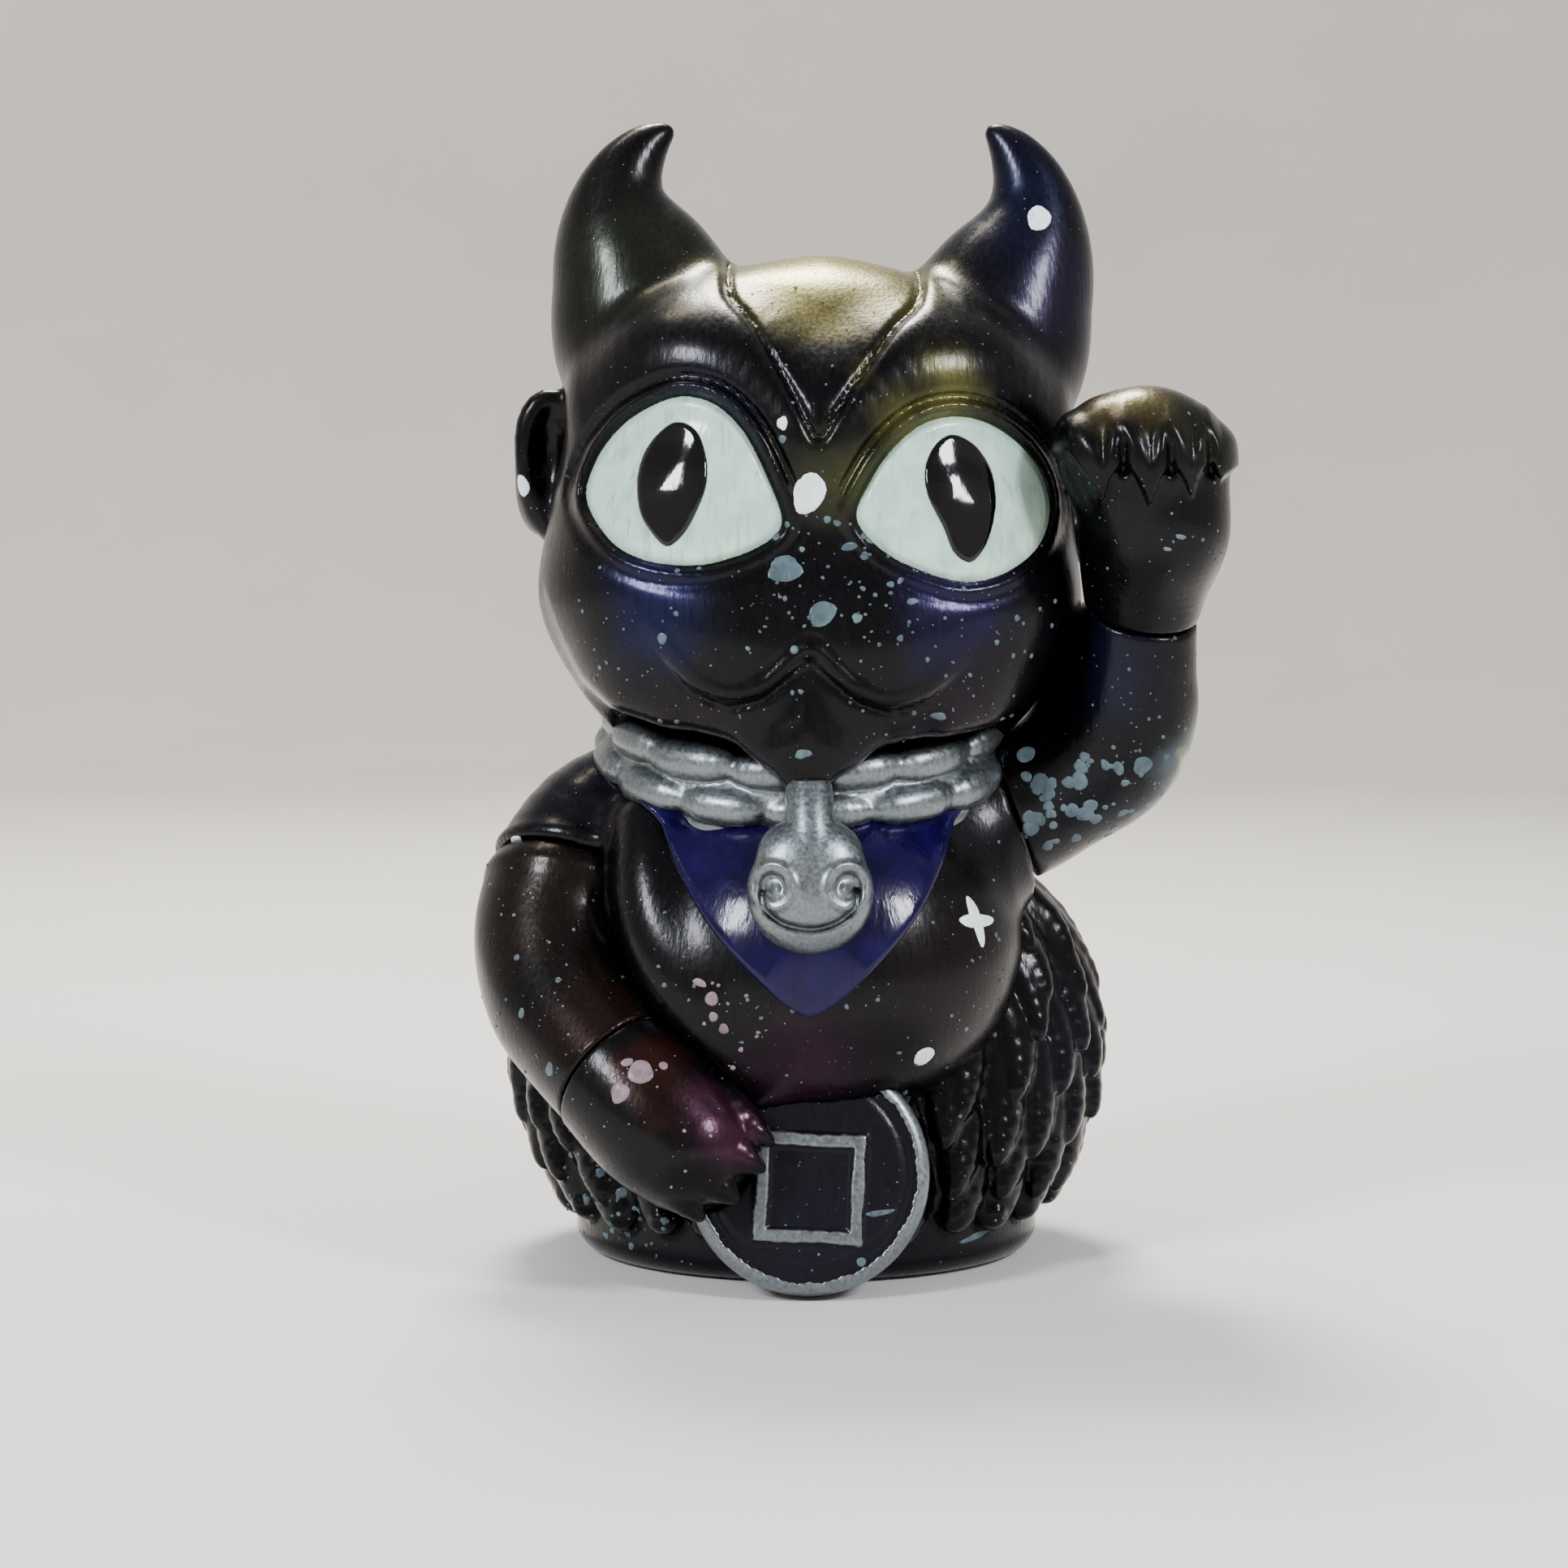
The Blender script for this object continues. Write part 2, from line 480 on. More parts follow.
def buildRestingArm(material):
    arm = {"low": (-44.0, -34.0, 14.0), "high": (-12.0, 12.0, 62.0), "voxel": 0.36}
    box = clayBox(arm["low"], arm["high"], arm["voxel"])
    form = blank(box)
    growTube(form, box, restingArm, 0.5, steps=12)
    past = pastSeam(box, "resting_shoulder")
    form = form + 0.35 * bump(past - 0.2, 0.8) - 0.3 * bump(past - 2.6, 1.1)  # the fold under the cap
    form = press(form, seamGap - past, 0.25)
    form = press(form, pastSeam(box, "resting_wrist") + seamGap, 0.25)
    return finishPiece(meshFrom("restingArmSkin", box, form), material, "resting_arm", ["resting_arm_shell"])


def buildRestingHand(material):
    hand = {"low": (-36.0, -38.0, 6.0), "high": (-2.0, -10.0, 40.0), "voxel": 0.3}
    box = clayBox(hand["low"], hand["high"], hand["voxel"])
    form = blank(box)
    growTube(form, box, restingHand, 0.5, steps=10)
    for claw in handClaws:
        growTube(form, box, claw, 0.5)
    form = press(form, seamGap - pastSeam(box, "resting_wrist"), 0.25)
    return finishPiece(meshFrom("restingHandSkin", box, form), material, "resting_hand", ["resting_hand_shell"])


# level ovals of the fur haunches: height, half width, half depth, middle
haunchRows = [(7.0, 29.4, 25.2, 0.8), (9.0, 31.4, 25.8, 1.2), (12.5, 33.6, 26.3, 2.2), (19.0, 36.0, 26.8, 3.6),
              (27.0, 37.0, 26.4, 4.2), (35.0, 35.4, 25.2, 4.0), (42.0, 31.4, 22.8, 3.2), (48.0, 25.0, 19.0, 1.8),
              (53.0, 18.0, 14.0, 1.0)]
footRows = [(0.0, 28.4, 23.0, 1.0), (2.6, 29.0, 23.6, 1.0), (9.0, 28.8, 23.4, 1.0), (16.0, 28.0, 23.0, 1.0)]


def ovalStack(box, rows, soft):
    # a form through level ovals, flat at both ends
    heights = [row[0] for row in rows]
    rx, ry, mid = [np.interp(box["z"], heights, [row[i] for row in rows]) for i in (1, 2, 3)]
    px, py = box["x"] / rx, (box["y"] - mid) / ry
    near = np.sqrt(px ** 2 + py ** 2)
    side = near * (near - 1) / np.maximum(np.sqrt((px / rx) ** 2 + (py / ry) ** 2), 1e-4)
    ends = np.maximum(heights[0] - box["z"], box["z"] - heights[-1])
    return press(side, ends, soft)


def ovalPoint(angle, height, out):
    # a place on the haunches' skin, and the way out of it
    rx, ry, mid = [np.interp(height, [row[0] for row in haunchRows], [row[i] for row in haunchRows])
                   for i in (1, 2, 3)]
    c, s = math.cos(angle), math.sin(angle)
    way = Vector((c / rx, s / ry, 0)).normalized()
    return Vector((rx * c, mid + ry * s, height)) + way * out, way


def buildHaunch(material):
    fur = {"low": (-42.0, -31.0, -1.0), "high": (42.0, 34.0, 57.0), "voxel": 0.44, "rows": 7, "top": 49.0,
           "bottom": 15.0, "lock": 7.0, "width": 3.8, "long": 13.5, "seed": 11}
    chance = random.Random(fur["seed"])
    box = clayBox(fur["low"], fur["high"], fur["voxel"])
    form = np.ascontiguousarray(np.broadcast_to(ovalStack(box, haunchRows, 2.0), blank(box).shape)).astype(np.float32)
    form += 0.9
    for row in range(fur["rows"]):
        height = fur["top"] + (fur["bottom"] - fur["top"]) * row / (fur["rows"] - 1)
        reach = np.interp(height, [r[0] for r in haunchRows], [r[1] for r in haunchRows])
        count = int(2 * math.pi * reach * 0.86 / fur["lock"])
        for i in range(count):
            angle = 2 * math.pi * (i + 0.5 * (row % 2) + chance.uniform(-0.15, 0.15)) / count
            sweep = 0.24 * math.cos(angle) + chance.uniform(-0.05, 0.05)
            drop = fur["long"] * chance.uniform(0.85, 1.12)
            wide = fur["width"] * chance.uniform(0.85, 1.12)
            proud = chance.uniform(-0.15, 0.25)
            lock = []
            for part, swell, lift in ((0.0, 0.5, -0.9), (0.22, 0.9, -0.1), (0.48, 1.0, 0.6), (0.74, 0.74, 1.3),
                                      (0.92, 0.4, 1.6), (1.0, 0.18, 1.4)):
                z = max(height + 3.0 - drop * part, 7.4 + proud * 3)
                radius = wide * swell
                spot, _ = ovalPoint(angle + sweep * (part - 0.9 * part * part), z, lift + proud - radius)
                lock.append((*spot, radius))
            growTube(form, box, lock, 0.35, steps=2)
    foot = ovalStack(box, footRows, 3.4)
    form = melt(form, press(foot, -box["z"], 0.4), 0.5)
    for points in (restingArm, restingHand):
        grow(form, box, lambda near: tube(near, points) - armRoom - 0.5, (-45, -40, 5), (-4, 12, 66), 0.5, cut=True)
    piece = meshFrom("haunchSkin", box, form)
    print("fur haunches shaped,", len(piece.data.polygons), "faces")
    return finishPiece(piece, material, "torso", ["haunch_shell"])


def neckFrame():
    # along the neck, and two ways across it
    up = Vector(neck["axis"]).normalized()
    across = Vector((1, 0, 0))
    return up, across, up.cross(across)


def buildCollar(material):
    links = {"low": (-30.0, -34.0, 48.0), "high": (30.0, 30.0, 76.0), "voxel": 0.36, "count": 14, "long": 5.6,
             "round": 2.45, "rows": ((4.2, 22.9, 0.1), (-0.1, 24.4, 0.6), (-3.6, 23.4, 0.25)), "seed": 5}
    chance = random.Random(links["seed"])
    box = clayBox(links["low"], links["high"], links["voxel"])
    form = ropeRing(box["x"], box["y"], box["z"], rope["thick"] - 1.0).astype(np.float32)
    up, across, ahead = neckFrame()
    middle = Vector(neck["point"]) - up * rope["drop"]
    for rise, reach, shift in links["rows"]:
        for i in range(links["count"]):
            turn = 2 * math.pi * (i + shift + chance.uniform(-0.08, 0.08)) / links["count"]
            half = links["long"] * chance.uniform(0.92, 1.08) / reach
            thick = links["round"] * chance.uniform(0.92, 1.06)
            slope = chance.uniform(0.0, 0.5)
            bead = []
            for part, share in ((-0.8, 0.72), (-0.45, 0.96), (0.0, 1.0), (0.45, 0.96), (0.8, 0.72)):
                angle = turn + half * part
                spot = middle + (across * math.cos(angle) + ahead * math.sin(angle)) * reach + up * (
                    rise + slope * part)
                bead.append((*spot, thick * share))
            growTube(form, box, bead, 0.3, steps=2)
    piece = meshFrom("collarLinks", box, form)
    print("collar shaped,", len(piece.data.polygons), "faces")
    return finishPiece(piece, material, "torso", ["collar_rope"])


bibLine = [(-18.8, 60.0), (-17.4, 55.0), (-15.4, 50.2), (-11.9, 44.3), (-6.6, 38.6), (-2.4, 35.0), (0.3, 33.9),
           (3.0, 35.2), (7.2, 38.8), (12.4, 44.6), (15.8, 50.4), (17.6, 55.4), (18.8, 60.0)]


def buildBib(material):
    bib = {"low": (-22.0, -36.0, 31.0), "high": (22.0, -8.0, 63.0), "voxel": 0.3, "thick": 1.0}
    box = clayBox(bib["low"], bib["high"], bib["voxel"])
    body = torsoClay(box)
    drawn = outlineGap(box["x"][:, 0, :], box["z"][0], bibLine, steps=5)[:, None, :]
    form = press(press(body - bib["thick"], drawn, 0.9), -body - 0.6, 0.1)
    form = press(form, -ropeRing(box["x"], box["y"], box["z"], rope["thick"] - 1.4), 0.2)
    return finishPiece(meshFrom("bibCloth", box, form), material, "torso", ["bib"])


def buildBell(material):
    bell = {"centre": (0.2, -31.6, 48.0), "radius": 7.2, "deep": 3.6, "low": (-9.0, -37.0, 39.0),
            "high": (9.0, -24.0, 61.0), "voxel": 0.17, "eye": 4.3, "eyeHeight": 49.2, "ring": 1.75, "line": 0.42}
    box = clayBox(bell["low"], bell["high"], bell["voxel"])
    form = blank(box)
    growBall(form, box, bell["centre"], (bell["radius"], bell["deep"], bell["radius"] * 0.98), 0.1)
    growBall(form, box, (0.2, -30.2, 53.2), (5.7, 2.7, 3.6), 2.6)  # its shoulders
    across, up = box["x"][:, 0, :], box["z"][0]
    mouth = [(-5.3, 48.2), (-5.0, 46.6), (-3.2, 45.0), (-0.6, 44.3), (1.6, 44.4), (3.8, 45.3), (5.4, 46.9), (5.6, 48.4)]
    cut = 0.75 * bump(outlineGap(across, up, mouth, closed=False), bell["line"])
    for side in (-1, 1):
        ring = np.hypot(across - side * bell["eye"] - 0.2, up - bell["eyeHeight"])
        cut = cut - 0.35 * bump(ring - bell["ring"] - 0.75, 0.5) + 0.9 * (1 - fade(ring, 0.9, bell["ring"] + 0.2))
        boss = np.hypot(across - side * (bell["eye"] - 0.5) - 0.2, up - bell["eyeHeight"] + 0.5)
        cut = cut - 0.7 * bump(boss, 0.7)
    form = form + cut[:, None, :] * (1 - fade(box["y"], -32.0, -30.5))
    bail = blank(box)
    growTube(bail, box, [(0.1, -27.4, 59.4, 2.8), (0.2, -29.0, 57.2, 2.9), (0.3, -30.4, 54.8, 2.9),
                         (0.3, -31.2, 53.6, 2.6)], 0.3, 1.0, 6)
    form = melt(form, bail, 0.35)
    return finishPiece(meshFrom("bellCasting", box, form), material, "torso", ["bell", "bell_bail"])


coin = {"y": -28.4, "z": 15.0, "radius": 14.2, "lean": math.radians(12.0), "frame": 5.6, "line": 1.7}


def coinPlane(box):
    # across the coin, up its face, and out of it
    c, s = math.cos(coin["lean"]), math.sin(coin["lean"])
    py, pz = box["y"] - coin["y"], box["z"] - coin["z"]
    return box["x"], pz * c + py * s, pz * s - py * c


def coinClay(box):
    u, v, w = coinPlane(box)
    edge = np.hypot(u, v) - coin["radius"]
    form = press(press(edge, w - 0.15 + 0.0035 * (u * u + v * v), 1.6), -w - 12.0, 0.3)
    square = np.maximum(np.abs(u * 0.998 - v * 0.05 - 0.3), np.abs(v * 0.998 + u * 0.05 + 1.8)) - coin["frame"]
    frame = np.abs(square) - coin["line"] / 2
    form = form - 0.45 * (1 - fade(frame, -0.3, 0.35)) * fade(w, -3.0, -1.5)
    return form + 0.25 * bump(np.minimum(edge + 2.6, 0) * (edge < -2.6) + np.maximum(edge + 2.6, 0), 0.5) * fade(
        w, -3.0, -1.5)


def buildCoin(material, silver):
    sizes = {"low": (-16.0, -34.5, 0.0), "high": (16.0, -12.0, 31.0), "voxel": 0.28, "paint": 0.14}
    box = clayBox(sizes["low"], sizes["high"], sizes["voxel"])
    disc = coinClay(box)
    behind = [torsoClay(box), tube(box, restingHand) - armRoom]
    form = disc
    for other in behind:
        form = press(form, -other, 0.2)
    form = press(form, 0.15 - box["z"], 0.2)
    piece = finishPiece(meshFrom("coinDisc", box, form), material, "torso", ["coin"])

    fine = clayBox((-16.0, -34.5, 0.0), (16.0, -22.0, 31.0), 0.2)
    disc = coinClay(fine)
    for other in (torsoClay(fine), tube(fine, restingHand) - armRoom):
        disc = press(disc, -other, 0.2)
    u, v, w = coinPlane(fine)
    around = np.arctan2(v, u)
    ragged = 0.12 * np.sin(around * 5 + 1.3) * np.sin(around * 13.7) + 0.1 * np.sin(around * 31.3) * np.sin(
        around * 7.1) + 0.07 * np.sin(around * 83.7)
    rim = np.abs(np.hypot(u, v) - coin["radius"] + 0.55) - 0.95 - ragged
    square = np.maximum(np.abs(u * 0.998 - v * 0.05 - 0.3), np.abs(v * 0.998 + u * 0.05 + 1.8)) - coin["frame"]
    wander = 0.14 * np.sin(u * 0.7 + 0.6) * np.sin(v * 0.9) + 0.07 * np.sin(u * 3.1 + v * 2.3) * np.sin(v * 5.3)
    stroke = np.abs(square) - coin["line"] * 0.46 - wander
    line = np.minimum(rim, stroke)
    coat = press(press(disc - sizes["paint"], line, 0.2), -disc - 0.4, 0.1)
    coat = press(press(coat, -w - 2.2, 0.3), 0.1 - fine["z"], 0.1)
    finishPiece(meshFrom("coinPaintLines", fine, coat), silver, "torso")
    return piece


def paintDrops(name, body, skin, drops, material, thick=0.14):
    # thin drops of paint that follow the skin; a drop is (x, z, width, height, turn), seen from the front
    surface = BVHTree.FromPolygons([v.co / mm for v in skin.data.vertices], [p.vertices for p in skin.data.polygons])
    rings, sides = ((0.0, 1.0), (0.5, 0.97), (0.82, 0.8), (0.96, 0.35), (1.04, -0.5)), 16
    chance = random.Random(len(drops))
    points, faces = [], []
    for x, z, wide, high, turn in drops:
        spot, normal, _, _ = surface.ray_cast(Vector((x, -90.0, z)), Vector((0, 1, 0)))
        if spot is None:
            continue
        across = normal.cross(Vector((0, 0, 1))).normalized() * -1
        upward = across.cross(normal) * -1
        c, s = math.cos(math.radians(turn)), math.sin(math.radians(turn))
        first, wave, shift = len(points), chance.uniform(0.03, 0.1), chance.uniform(0, 6)
        for reach, lift in rings:
            for k in range(sides if reach else 1):
                angle = 2 * math.pi * k / sides
                rough = reach * (1 + wave * math.sin(3 * angle + shift) + 0.5 * wave * math.sin(5 * angle - shift))
                u, v = wide / 2 * rough * math.cos(angle), high / 2 * rough * math.sin(angle)
                place = spot + across * (u * c - v * s) + upward * (u * s + v * c)
                hit, out, _, _ = surface.ray_cast(place + normal * 2.5, -normal, 6.0)
                points.append((hit if hit else place) + (out if hit else normal) * thick * lift)
        for k in range(sides):
            after = (k + 1) % sides
            faces.append((first, first + 1 + k, first + 1 + after))
            for ring in range(len(rings) - 2):
                a = first + 1 + ring * sides
                faces.append((a + k, a + sides + k, a + sides + after, a + after))
    mesh = bpy.data.meshes.new(name)
    mesh.from_pydata([p * mm for p in points], [], faces)
    mesh.polygons.foreach_set("use_smooth", [True] * len(faces))
    piece = bpy.data.objects.new(name, mesh)
    bpy.context.scene.collection.objects.link(piece)
    return finishPiece(piece, material, body)


def spatter(seed, count, low, high, size, spread=2.2):
    # many small specks in a region, most of them tiny
    chance = random.Random(seed)
    drops = []
    for _ in range(count):
        wide = size * (0.3 + 0.7 * chance.random() ** spread)
        drops.append((chance.uniform(low[0], high[0]), chance.uniform(low[1], high[1]), wide,
                      wide * chance.uniform(0.65, 1.1), chance.uniform(0, 180)))
    return drops


def patch(tree, place, centre, radius, strength=1.0):
    # a soft round area of colour; centre and radius in millimetres
    far = addNode(tree, "ShaderNodeVectorMath", {"operation": "DISTANCE", 1: [v * mm for v in centre]}, {0: place})
    return addNode(tree, "ShaderNodeMapRange",
                   {"interpolation_type": "SMOOTHSTEP", "From Min": radius * 0.15 * mm, "From Max": radius * mm,
                    "To Min": strength, "To Max": 0.0}, {"Value": far.outputs["Value"]}).outputs["Result"]


def mixed(tree, factor, under, over):
    node = addNode(tree, "ShaderNodeMix", {"data_type": "RGBA"})
    for index, value in ((0, factor), (6, under), (7, over)):
        if isinstance(value, (float, tuple)):
            node.inputs[index].default_value = value
        else:
            tree.links.new(value, node.inputs[index])
    return node.outputs[2]


def pearlVinyl(name, base, patches, flakes=1.0, gloss=0.3):
    # Rotocast vinyl, airbrushed black and dusted with pearl pigment, then brushed with clear varnish: nearly black
    # where it is turned away, tinted where the light catches it, with fine sparkle and varnish wrinkles.
    paint = {"flakeCell": 0.85, "flakeRadius": 0.1, "wrinkle": 0.9, "stroke": 0.45, "strokeLong": 9.0, "drift": 9.0}
    material, tree = newMaterial(name)
    place = addNode(tree, "ShaderNodeTexCoord").outputs["Object"]
    cloud = addNode(tree, "ShaderNodeTexNoise", {"Scale": 1 / (paint["drift"] * mm), "Detail": 3.0}, {"Vector": place})
    shift = addNode(tree, "ShaderNodeVectorMath", {"operation": "MULTIPLY_ADD", 1: (0.011, 0.011, 0.011)},
                    {0: cloud.outputs["Color"], 2: place})
    spot = addNode(tree, "ShaderNodeVectorMath", {"operation": "SUBTRACT", 1: (0.0055, 0.0055, 0.0055)},
                   {0: shift.outputs["Vector"]}).outputs["Vector"]
    colour = mixed(tree, cloud.outputs["Fac"], srgb(base[0]), srgb(base[1]))
    for hexCode, centre, radius, strength in patches:
        colour = mixed(tree, patch(tree, spot, centre, radius, strength), colour, srgb(hexCode))
    # flakes are about three times their real size, or they would not show at all
    cells = addNode(tree, "ShaderNodeTexVoronoi", {"Scale": 1 / (paint["flakeCell"] * mm)}, {"Vector": place})
    size = addNode(tree, "ShaderNodeSeparateColor", {}, {"Color": cells.outputs["Color"]})
    limit = addNode(tree, "ShaderNodeMath", {"operation": "MULTIPLY", 1: paint["flakeRadius"] / paint["flakeCell"]},
                    {0: size.outputs["Red"]})
    flake = addNode(tree, "ShaderNodeMath", {"operation": "LESS_THAN"},
                    {0: cells.outputs["Distance"], 1: limit.outputs["Value"]})
    bright = addNode(tree, "ShaderNodeMath", {"operation": "MULTIPLY", 1: flakes},
                     {0: flake.outputs["Value"]})
    dusty = addNode(tree, "ShaderNodeMath", {"operation": "MULTIPLY", "use_clamp": True},
                    {0: bright.outputs["Value"], 1: size.outputs["Green"]})
    colour = mixed(tree, dusty.outputs["Value"], colour, srgb("#8F8C93"))
    long = addNode(tree, "ShaderNodeMapping",
                   {"Scale": (1 / (paint["stroke"] * mm), 1 / (paint["stroke"] * mm), 1 / (paint["strokeLong"] * mm)),
                    "Rotation": (0.1, 0.25, 0.0)}, {"Vector": place})
    stroke = addNode(tree, "ShaderNodeTexNoise", {"Scale": 1.0, "Detail": 2.0}, {"Vector": long.outputs["Vector"]})
    wrinkle = addNode(tree, "ShaderNodeTexNoise", {"Scale": 1 / (paint["wrinkle"] * mm), "Detail": 4.0,
                                                   "Roughness": 0.6}, {"Vector": place})
    both = addNode(tree, "ShaderNodeMath", {"operation": "ADD"},
                   {0: stroke.outputs["Fac"], 1: wrinkle.outputs["Fac"]})
    relief = addNode(tree, "ShaderNodeBump", {"Strength": 0.22, "Distance": 0.12 * mm},
                     {"Height": both.outputs["Value"]})
    satin = addNode(tree, "ShaderNodeMapRange", {"From Min": 0.3, "From Max": 0.75, "To Min": gloss - 0.07,
                                                 "To Max": gloss + 0.1}, {"Value": stroke.outputs["Fac"]})
    shader = addNode(tree, "ShaderNodeBsdfPrincipled", {"Metallic": 0.6, "IOR": 1.45, "Specular IOR Level": 0.22,
                                                        "Coat Weight": 0.24, "Coat Roughness": 0.17, "Coat IOR": 1.4},
                     {"Base Color": colour, "Roughness": satin.outputs["Result"], "Normal": relief.outputs["Normal"],
                      "Coat Normal": relief.outputs["Normal"]})
    addNode(tree, "ShaderNodeOutputMaterial", {}, {"Surface": shader.outputs["BSDF"]})
    return material


def brushedEnamel(name, colours, roughness, grain=(0.9, 6.0), relief=0.25, metallic=0.0, coat=0.6):
    # Hobby enamel or acrylic laid on by hand: a wet gloss with brush marks running through it, and the
    # colour thicker in some strokes than in others.
    material, tree = newMaterial(name)
    place = addNode(tree, "ShaderNodeTexCoord").outputs["Object"]
    long = addNode(tree, "ShaderNodeMapping",
                   {"Scale": (1 / (grain[0] * mm), 1 / (grain[0] * mm), 1 / (grain[1] * mm)),
                    "Rotation": (0.2, 0.7, 0.3)}, {"Vector": place})
    stroke = addNode(tree, "ShaderNodeTexNoise", {"Scale": 1.0, "Detail": 3.0, "Distortion": 0.6},
                     {"Vector": long.outputs["Vector"]})
    pool = addNode(tree, "ShaderNodeTexNoise", {"Scale": 1 / (3.2 * mm), "Detail": 2.0}, {"Vector": place})
    ramp = addNode(tree, "ShaderNodeMapRange", {"From Min": 0.38, "From Max": 0.68}, {"Value": pool.outputs["Fac"]})
    thin = addNode(tree, "ShaderNodeMapRange", {"From Min": 0.55, "From Max": 0.75, "To Max": 0.8},
                   {"Value": stroke.outputs["Fac"]})
    colour = mixed(tree, ramp.outputs["Result"], srgb(colours[0]), srgb(colours[1]))
    colour = mixed(tree, thin.outputs["Result"], colour, srgb(colours[2]))
    bumpy = addNode(tree, "ShaderNodeBump", {"Strength": relief, "Distance": 0.15 * mm},
                    {"Height": stroke.outputs["Fac"]})
    sheen = addNode(tree, "ShaderNodeMapRange", {"From Min": 0.3, "From Max": 0.7, "To Min": roughness * 0.75,
                                                 "To Max": roughness * 1.3}, {"Value": pool.outputs["Fac"]})
    shader = addNode(tree, "ShaderNodeBsdfPrincipled", {"Metallic": metallic, "IOR": 1.45, "Specular IOR Level": 0.25,
                                                        "Coat Weight": coat, "Coat Roughness": 0.08, "Coat IOR": 1.4},
                     {"Base Color": colour, "Roughness": sheen.outputs["Result"], "Normal": bumpy.outputs["Normal"],
                      "Coat Normal": bumpy.outputs["Normal"]})
    addNode(tree, "ShaderNodeOutputMaterial", {}, {"Surface": shader.outputs["BSDF"]})
    return material


def silverPaint(name):
    # Silver model paint brushed over dark vinyl: leafy bright grey on what stands out, thin and dirty in the
    # hollows, where the black below shows through.
    silver = {"leaf": 0.5, "worn": 1.6}
    material, tree = newMaterial(name)
    place = addNode(tree, "ShaderNodeTexCoord").outputs["Object"]
    leaf = addNode(tree, "ShaderNodeTexNoise", {"Scale": 1 / (silver["leaf"] * mm), "Detail": 4.0}, {"Vector": place})
    worn = addNode(tree, "ShaderNodeTexNoise", {"Scale": 1 / (silver["worn"] * mm), "Detail": 3.0}, {"Vector": place})
    hollow = addNode(tree, "ShaderNodeAmbientOcclusion", {"samples": 6, "Distance": 1.6 * mm})
    open_ = addNode(tree, "ShaderNodeMath", {"operation": "MULTIPLY_ADD", 1: 0.35}, {0: worn.outputs["Fac"],
                                                                                     2: hollow.outputs["AO"]})
    wash = addNode(tree, "ShaderNodeMapRange", {"interpolation_type": "SMOOTHSTEP", "From Min": 0.62, "From Max": 0.98,
                                                "To Min": 0.0, "To Max": 1.0}, {"Value": open_.outputs["Value"]})
    tone = mixed(tree, leaf.outputs["Fac"], srgb("#454B4D"), srgb("#8E9698"))
    colour = mixed(tree, wash.outputs["Result"], srgb("#1B1C20"), tone)
    relief = addNode(tree, "ShaderNodeBump", {"Strength": 0.3, "Distance": 0.1 * mm}, {"Height": leaf.outputs["Fac"]})
    rough = addNode(tree, "ShaderNodeMapRange", {"From Min": 0.3, "From Max": 0.7, "To Min": 0.27, "To Max": 0.45},
                    {"Value": leaf.outputs["Fac"]})
    shader = addNode(tree, "ShaderNodeBsdfPrincipled", {"Metallic": 0.9, "Coat Weight": 0.15, "Coat Roughness": 0.2},
                     {"Base Color": colour, "Roughness": rough.outputs["Result"], "Normal": relief.outputs["Normal"]})
    addNode(tree, "ShaderNodeOutputMaterial", {}, {"Surface": shader.outputs["BSDF"]})
    return material


def sweepPaper(name):
    # Matt paper sweep: a pale neutral with hardly any grain
    material, tree = newMaterial(name)
    place = addNode(tree, "ShaderNodeTexCoord").outputs["Object"]
    grain = addNode(tree, "ShaderNodeTexNoise", {"Scale": 1 / (60 * mm), "Detail": 3.0}, {"Vector": place})
    colour = mixed(tree, grain.outputs["Fac"], srgb("#CFCDCB"), srgb("#D8D6D4"))
    shader = addNode(tree, "ShaderNodeBsdfPrincipled", {"Roughness": 0.85}, {"Base Color": colour})
    addNode(tree, "ShaderNodeOutputMaterial", {}, {"Surface": shader.outputs["BSDF"]})
    return material


def buildStudio():
    studio = {"radius": 0.85, "cove": 0.42, "height": 0.95, "rings": 40, "sides": 128}
    # a round paper cove, seen the same from every side
    profile = [(studio["radius"] * i / 12, 0.0) for i in range(1, 13)]
    for i in range(1, studio["rings"] + 1):
        angle = math.pi / 2 * i / studio["rings"]
        profile.append((studio["radius"] + studio["cove"] * math.sin(angle), studio["cove"] * (1 - math.cos(angle))))
    profile.append((studio["radius"] + studio["cove"], studio["height"]))
    sides = studio["sides"]
    points = [(0.0, 0.0, 0.0)] + [(r * math.cos(2 * math.pi * k / sides), r * math.sin(2 * math.pi * k / sides), z)
                                  for r, z in profile for k in range(sides)]
    faces = [(0, 1 + k, 1 + (k + 1) % sides) for k in range(sides)]
    for ring in range(len(profile) - 1):
        for k in range(sides):
            a, b = 1 + ring * sides + k, 1 + ring * sides + (k + 1) % sides
            faces.append((a, a + sides, b + sides, b))
    mesh = bpy.data.meshes.new("paperSweep")
    mesh.from_pydata(points, [], faces)
    mesh.polygons.foreach_set("use_smooth", [True] * len(mesh.polygons))
    sweep = bpy.data.objects.new("paperSweep", mesh)
    bpy.context.scene.collection.objects.link(sweep)
    mesh.materials.append(sweepPaper("mattSweepPaper"))
    world = bpy.data.worlds.new("studioAir")
    world.use_nodes = True
    world.node_tree.nodes["Background"].inputs["Color"].default_value = srgb("#E6E6EA")
    world.node_tree.nodes["Background"].inputs["Strength"].default_value = 0.5
    bpy.context.scene.world = world


